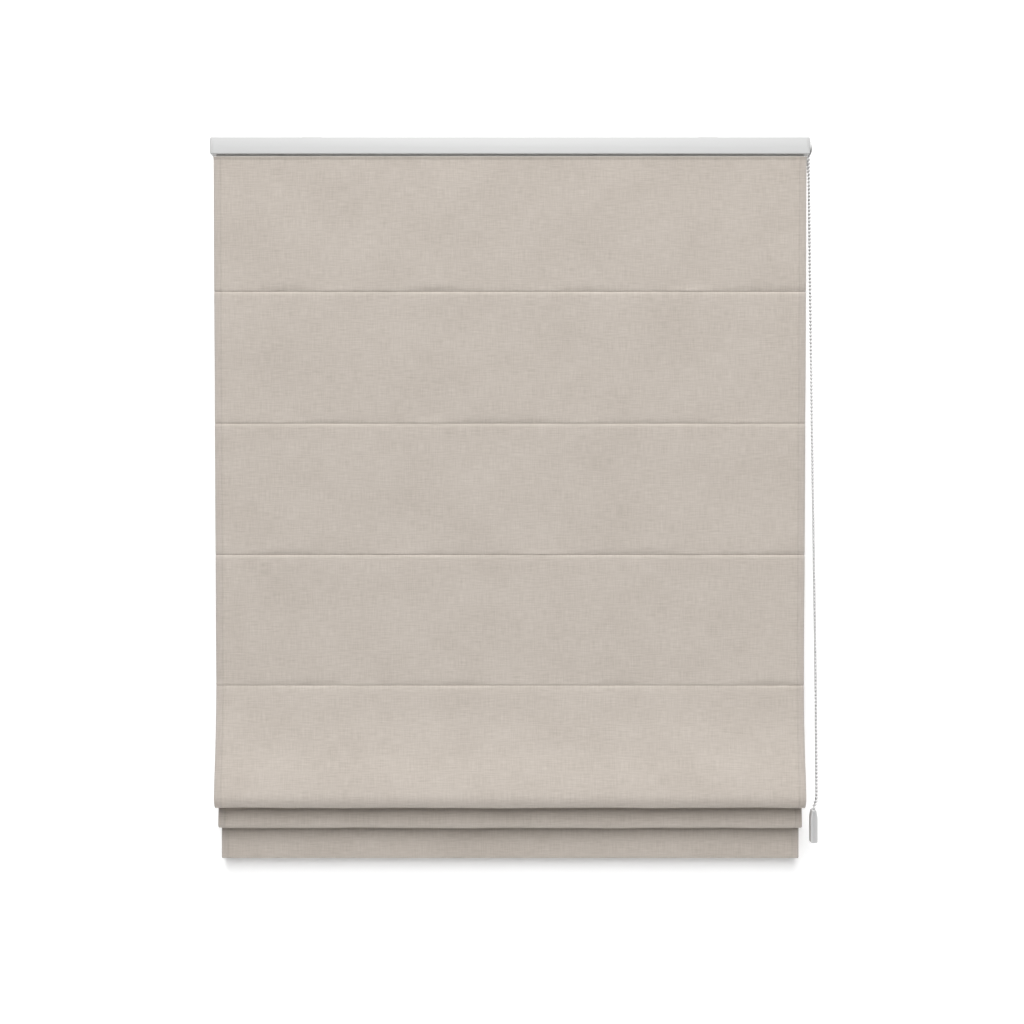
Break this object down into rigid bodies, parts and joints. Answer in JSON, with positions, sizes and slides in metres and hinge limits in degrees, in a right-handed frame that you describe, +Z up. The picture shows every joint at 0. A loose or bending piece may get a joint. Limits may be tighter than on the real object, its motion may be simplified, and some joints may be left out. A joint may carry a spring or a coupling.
{
  "type": "roman blind",
  "caption": "Roman blind: a pleated linen sheet on a white headrail, with lift cords, rods and a bead chain drive.",
  "frame": {"origin": "middle of the two ceiling screws, on the ceiling face of the brackets", "axes": "+X to the right along the headrail, +Y away from the room towards the window, +Z up"},
  "size_m": [1.0183, 0.0676, 1.2195],
  "materials": {
    "rail_paint": "satin white powder coat",
    "cap_plastic": "moulded white",
    "cover_plastic": "moulded white",
    "bracket_paint": "white coated steel",
    "strip_plastic": "extruded white",
    "linen": "plain weave, warm grey beige with slubs",
    "nylon": "moulded natural white",
    "spring_steel": "bright wire",
    "shaft_metal": "mill finish",
    "lift_cord": "white braid",
    "glass_fibre": "white glass fibre",
    "ring_plastic": "clear white moulding",
    "bar_metal": "mill finish",
    "bar_end_plastic": "moulded white",
    "chain_cord": "white braid",
    "bead_plastic": "white moulded beads",
    "weight_plastic": "pale milky moulding"
  },
  "bodies": {
    "rail": {"headrail": "rail_paint", "end_cap_left": "cap_plastic", "drive_housing": "cap_plastic", "drive_cover": "cover_plastic", "bracket_left": "bracket_paint", "bracket_right": "bracket_paint", "heading_strip": "strip_plastic", "fabric": "linen", "spool_cradle_left": "nylon", "spool_cradle_middle": "nylon", "spool_cradle_right": "nylon", "lift_cord_left": "lift_cord", "lift_cord_middle": "lift_cord", "lift_cord_right": "lift_cord", "chain_cord": "chain_cord", "chain_beads": "bead_plastic", "weight_left_half": "weight_plastic", "weight_right_half": "weight_plastic"},
    "drive": {"chain_wheel": "nylon", "brake_spring": "spring_steel", "drive_shaft": "shaft_metal", "spool_left": "nylon", "spool_middle": "nylon", "spool_right": "nylon"},
    "rod_1_set": {"rod_1": "glass_fibre", "cord_rings_1": "ring_plastic"},
    "rod_2_set": {"rod_2": "glass_fibre", "cord_rings_2": "ring_plastic"},
    "rod_3_set": {"rod_3": "glass_fibre", "cord_rings_3": "ring_plastic"},
    "rod_4_set": {"rod_4": "glass_fibre", "cord_rings_4": "ring_plastic"},
    "fold_pack": {"rod_5": "glass_fibre", "cord_rings_5": "ring_plastic", "rod_6": "glass_fibre", "cord_rings_6": "ring_plastic", "cord_locks": "ring_plastic", "bottom_bar": "bar_metal", "bar_end_left": "bar_end_plastic", "bar_end_right": "bar_end_plastic"}
  },
  "joints": [
    {"name": "pack_lift", "type": "slide", "parent": "rail", "child": "fold_pack", "axis": [0, 0, 1], "range_m": [0, 0.93], "deforming": ["fabric", "lift_cord_left", "lift_cord_middle", "lift_cord_right"]},
    {"name": "rod_1_lift", "type": "slide", "parent": "rail", "child": "rod_1_set", "axis": [0, 0, 1], "range_m": [0, 0.2142]},
    {"name": "rod_2_lift", "type": "slide", "parent": "rail", "child": "rod_2_set", "axis": [0, 0, 1], "range_m": [0, 0.4213]},
    {"name": "rod_3_lift", "type": "slide", "parent": "rail", "child": "rod_3_set", "axis": [0, 0, 1], "range_m": [0, 0.6283]},
    {"name": "rod_4_lift", "type": "slide", "parent": "rail", "child": "rod_4_set", "axis": [0, 0, 1], "range_m": [0, 0.8354]},
    {"name": "drive_turn", "type": "hinge", "parent": "rail", "child": "drive", "pos_m": [0, 0, -0.0155], "axis": [1, 0, 0], "range_deg": [0, 7837], "deforming": ["chain_cord", "chain_beads"]}
  ],
  "couplings": [
    {"joint": "rod_1_lift", "follows": "pack_lift", "ratio": 0.22976},
    {"joint": "rod_2_lift", "follows": "pack_lift", "ratio": 0.45243},
    {"joint": "rod_3_lift", "follows": "pack_lift", "ratio": 0.6751},
    {"joint": "rod_4_lift", "follows": "pack_lift", "ratio": 0.89777},
    {"joint": "drive_turn", "follows": "pack_lift", "rad_per_m": 147.06}
  ]
}
